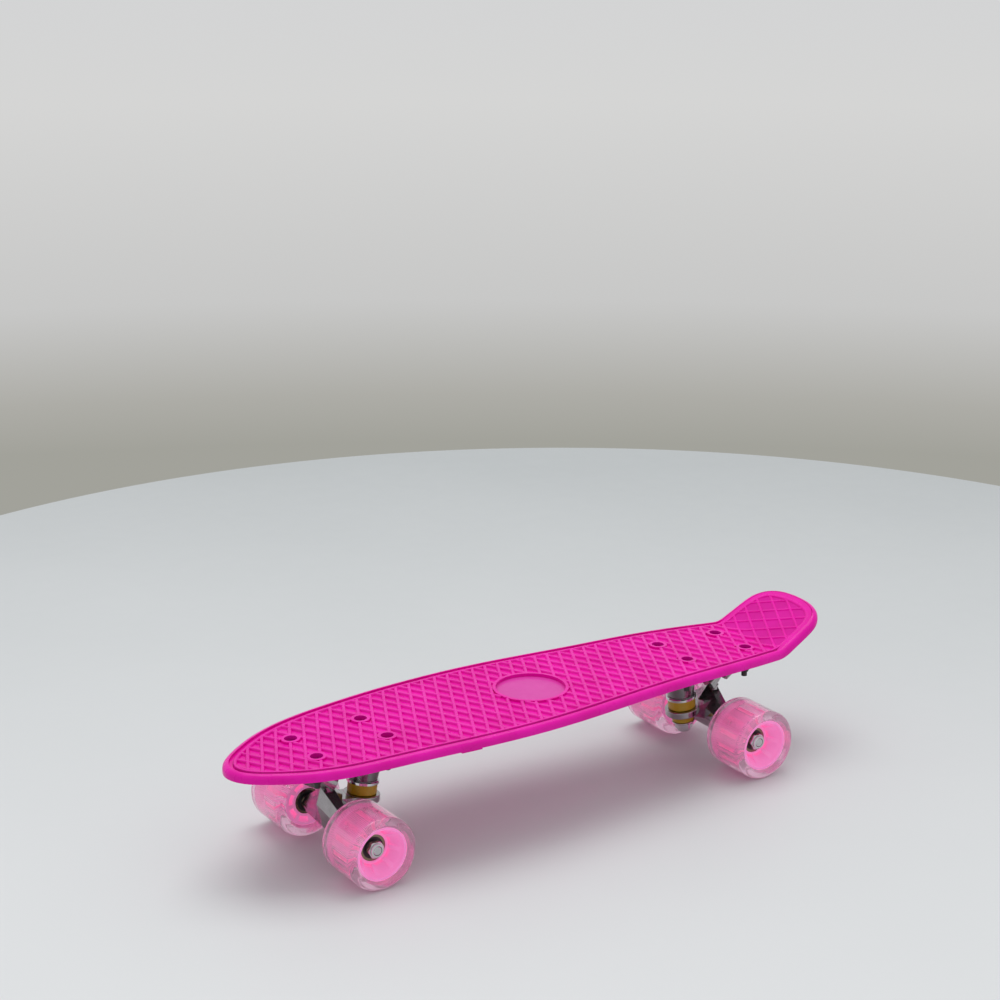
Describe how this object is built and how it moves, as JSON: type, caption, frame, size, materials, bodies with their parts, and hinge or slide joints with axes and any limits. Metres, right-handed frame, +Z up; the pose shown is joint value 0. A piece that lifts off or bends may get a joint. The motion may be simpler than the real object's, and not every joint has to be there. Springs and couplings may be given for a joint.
{
  "type": "skateboard",
  "caption": "Small moulded plastic cruiser board with a kicktail, cast trucks that lean to steer, and clear urethane wheels with light-up cores on ball bearings.",
  "frame": {"origin": "on the ground under the middle of the object's length and width, the wheels' lowest points at z = 0", "axes": "+X towards the nose, +Y towards the rider's left when facing the nose, +Z up"},
  "size_m": [0.571, 0.161, 0.122],
  "materials": {
    "deck_plastic": "glossy hot-pink moulded plastic",
    "cast_grey": "light grey cast metal",
    "black_plastic": "black",
    "dark_steel": "dark zinc",
    "bushing_urethane": "amber urethane",
    "chrome_steel": "chrome plated",
    "black_steel": "black",
    "polished_metal": "polished cast metal",
    "axle_steel": "zinc plated steel",
    "magnet_steel": "nickel plated magnet",
    "bearing_steel": "hardened steel",
    "ball_steel": "polished steel",
    "bearing_seal": "dark seal",
    "clear_urethane": "clear urethane",
    "core_plastic": "pink translucent plastic",
    "lamp_module": "white lamp module"
  },
  "bodies": {
    "board": {"deck": "deck_plastic", "front_baseplate": "cast_grey", "front_pivot_cup": "black_plastic", "front_kingpin": "dark_steel", "front_board_side_bushing": "bushing_urethane", "front_road_side_bushing": "bushing_urethane", "front_cup_washer": "chrome_steel", "front_road_washer": "chrome_steel", "front_kingpin_nut": "chrome_steel", "front_deck_bolts": "black_steel", "front_deck_nuts": "black_steel", "rear_baseplate": "cast_grey", "rear_pivot_cup": "black_plastic", "rear_kingpin": "dark_steel", "rear_board_side_bushing": "bushing_urethane", "rear_road_side_bushing": "bushing_urethane", "rear_cup_washer": "chrome_steel", "rear_road_washer": "chrome_steel", "rear_kingpin_nut": "chrome_steel", "rear_deck_bolts": "black_steel", "rear_deck_nuts": "black_steel"},
    "front_hanger_assembly": {"front_hanger": "polished_metal", "front_axle": "axle_steel", "front_axle_nuts": "chrome_steel", "front_speed_washers": "chrome_steel", "front_magnet_spacers": "magnet_steel", "front_left_bearing_inner_rings": "bearing_steel", "front_right_bearing_inner_rings": "bearing_steel"},
    "front_left_wheel": {"front_left_tyre": "clear_urethane", "front_left_core": "core_plastic", "front_left_led_module": "lamp_module", "front_left_bearing_outer_rings": "bearing_steel", "front_left_bearing_balls": "ball_steel", "front_left_bearing_shields": "bearing_seal"},
    "front_right_wheel": {"front_right_tyre": "clear_urethane", "front_right_core": "core_plastic", "front_right_led_module": "lamp_module", "front_right_bearing_outer_rings": "bearing_steel", "front_right_bearing_balls": "ball_steel", "front_right_bearing_shields": "bearing_seal"},
    "rear_hanger_assembly": {"rear_hanger": "polished_metal", "rear_axle": "axle_steel", "rear_axle_nuts": "chrome_steel", "rear_speed_washers": "chrome_steel", "rear_magnet_spacers": "magnet_steel", "rear_left_bearing_inner_rings": "bearing_steel", "rear_right_bearing_inner_rings": "bearing_steel"},
    "rear_left_wheel": {"rear_left_tyre": "clear_urethane", "rear_left_core": "core_plastic", "rear_left_led_module": "lamp_module", "rear_left_bearing_outer_rings": "bearing_steel", "rear_left_bearing_balls": "ball_steel", "rear_left_bearing_shields": "bearing_seal"},
    "rear_right_wheel": {"rear_right_tyre": "clear_urethane", "rear_right_core": "core_plastic", "rear_right_led_module": "lamp_module", "rear_right_bearing_outer_rings": "bearing_steel", "rear_right_bearing_balls": "ball_steel", "rear_right_bearing_shields": "bearing_seal"}
  },
  "joints": [
    {"name": "front_steer", "type": "hinge", "parent": "board", "child": "front_hanger_assembly", "pos_m": [0.211, 0, 0.072], "axis": [0.8355, 0, 0.5495], "range_deg": [-12, 12], "stiffness_Nm_per_rad": 28, "deforming": ["front_board_side_bushing", "front_road_side_bushing"]},
    {"name": "front_left_wheel_spin", "type": "hinge", "parent": "front_hanger_assembly", "child": "front_left_wheel", "pos_m": [0.19435, 0.058, 0.03], "axis": [0, 1, 0], "continuous": true},
    {"name": "front_right_wheel_spin", "type": "hinge", "parent": "front_hanger_assembly", "child": "front_right_wheel", "pos_m": [0.19435, -0.058, 0.03], "axis": [0, 1, 0], "continuous": true},
    {"name": "rear_steer", "type": "hinge", "parent": "board", "child": "rear_hanger_assembly", "pos_m": [-0.201, 0, 0.072], "axis": [-0.8355, 0, 0.5495], "range_deg": [-12, 12], "stiffness_Nm_per_rad": 28, "deforming": ["rear_board_side_bushing", "rear_road_side_bushing"]},
    {"name": "rear_left_wheel_spin", "type": "hinge", "parent": "rear_hanger_assembly", "child": "rear_left_wheel", "pos_m": [-0.18435, 0.058, 0.03], "axis": [0, 1, 0], "continuous": true},
    {"name": "rear_right_wheel_spin", "type": "hinge", "parent": "rear_hanger_assembly", "child": "rear_right_wheel", "pos_m": [-0.18435, -0.058, 0.03], "axis": [0, 1, 0], "continuous": true}
  ]
}
